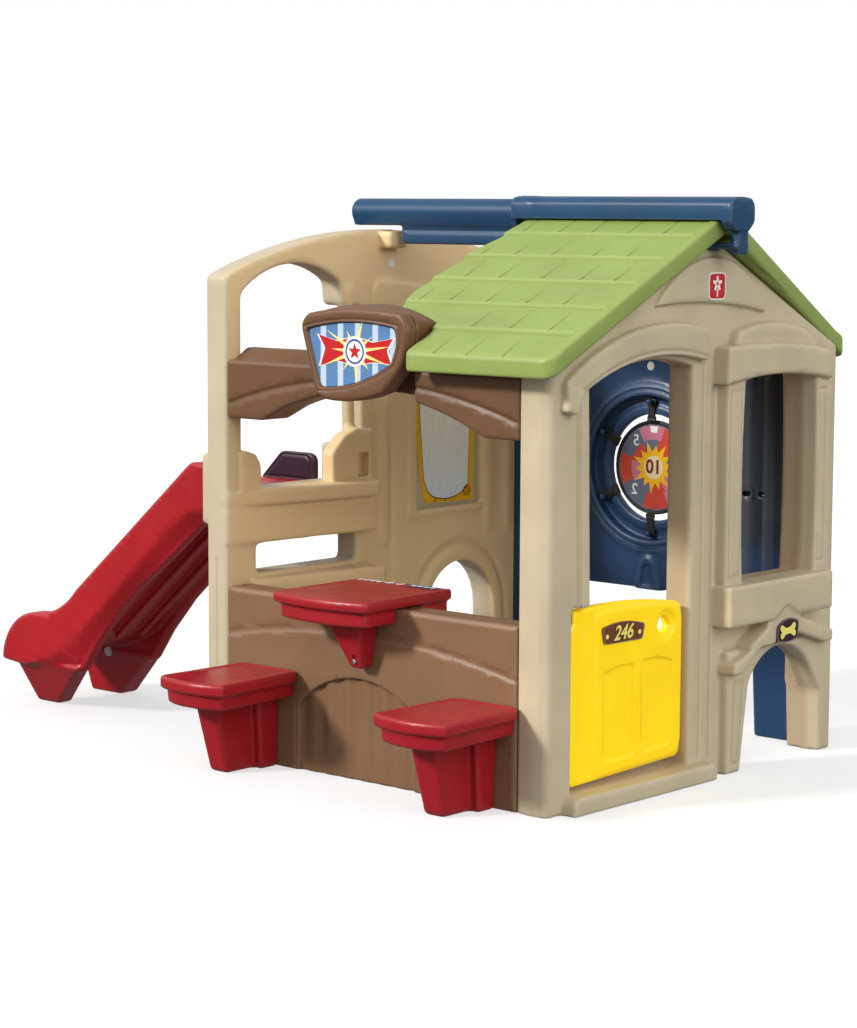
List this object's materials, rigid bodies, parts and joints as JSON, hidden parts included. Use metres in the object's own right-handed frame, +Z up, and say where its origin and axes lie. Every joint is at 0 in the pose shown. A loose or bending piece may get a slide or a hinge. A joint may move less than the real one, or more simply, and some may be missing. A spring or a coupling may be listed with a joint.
{
  "type": "plastic playhouse",
  "caption": "Child's plastic playhouse with a gable door wall, half door, window, snack table, stools, toss target, climbing step and slide.",
  "frame": {"origin": "on the floor, under the middle of the whole toy's box", "axes": "+X from the slide towards the door wall, +Y from the counter side towards the back wall, +Z up"},
  "size_m": [2.201, 1.604, 1.469],
  "materials": {
    "sand_plastic": "fine-grained rotomoulded polyethylene",
    "tan_plastic": "fine-grained rotomoulded polyethylene",
    "brown_plastic": "fine-grained rotomoulded polyethylene",
    "navy_plastic": "fine-grained rotomoulded polyethylene",
    "green_plastic": "fine-grained rotomoulded polyethylene",
    "blue_plastic": "fine-grained rotomoulded polyethylene",
    "red_plastic": "satin blow-moulded polyethylene",
    "yellow_plastic": "satin blow-moulded polyethylene",
    "plum_plastic": "satin moulded plastic",
    "print_sheet": null,
    "label_plastic": "printed vinyl",
    "mirror_print": "printed acrylic",
    "mirror_film": "soft acrylic mirror",
    "black_elastic": "moulded elastic strap",
    "white_plastic": "moulded plug",
    "steel": "zinc-plated steel"
  },
  "bodies": {
    "house": {"door_wall": "sand_plastic", "slide_wall": "tan_plastic", "low_wall": "brown_plastic", "arch_beam": "brown_plastic", "back_wall": "navy_plastic", "roof_front": "green_plastic", "roof_back": "green_plastic", "ridge_beam_front": "blue_plastic", "ridge_beam_rear": "blue_plastic", "sign_housing": "brown_plastic", "sign_panel": "print_sheet", "stool_left": "red_plastic", "stool_right": "red_plastic", "table": "red_plastic", "hinge_pins": "steel", "target_straps": "black_elastic", "target_pegs": "blue_plastic", "slide": "red_plastic", "hand_wing": "plum_plastic", "pet_plaque": "label_plastic", "gable_badge": "label_plastic", "table_decal": "label_plastic", "mirror_frame": "mirror_print", "mirror_film": "mirror_film", "vent_plugs": "white_plastic", "tower_screws": "steel", "table_screw": "steel"},
    "door": {"half_door": "yellow_plastic", "door_plaque": "label_plastic"},
    "target": {"target_disc": "print_sheet"}
  },
  "joints": [
    {"name": "door_hinge", "type": "hinge", "parent": "house", "child": "door", "pos_m": [0.9725, -0.379, 0.25], "axis": [0, 0, 1], "range_deg": [-90, 90]},
    {"name": "target_push", "type": "slide", "parent": "house", "child": "target", "axis": [0, 1, 0], "range_m": [-0.02, 0.02], "stiffness_N_per_m": 1500, "deforming": ["target_straps"]}
  ]
}
